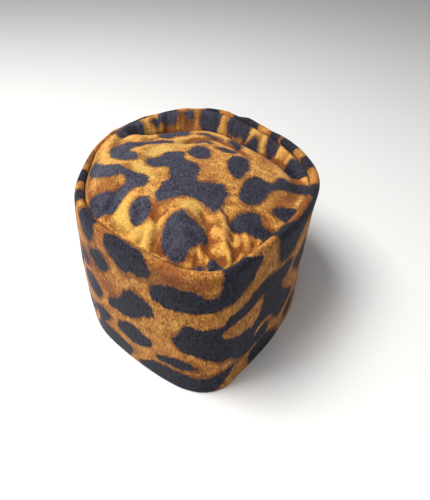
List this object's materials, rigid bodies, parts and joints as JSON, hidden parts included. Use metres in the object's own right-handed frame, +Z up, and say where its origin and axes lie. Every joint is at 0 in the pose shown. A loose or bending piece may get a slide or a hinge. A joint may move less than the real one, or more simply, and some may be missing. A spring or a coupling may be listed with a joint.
{
  "type": "kufi",
  "caption": "Brimless velvet kufi cap in a leopard print: a stiff upright band, pointed at the front, with a rolled rim and a soft gathered crown pushed in at the back.",
  "frame": {"origin": "on the surface under the cap, in the middle of the cap's outline seen from above", "axes": "+Z up, -Y towards the pointed front, +X towards the wearer's left"},
  "size_m": [0.1683, 0.2182, 0.1152],
  "materials": {
    "band_velvet": "short-pile velvet, leopard print on amber",
    "crown_velvet": "short-pile velvet, leopard print on gold"
  },
  "bodies": {
    "root": {"side_band": "band_velvet", "crown_top": "crown_velvet"}
  },
  "joints": []
}
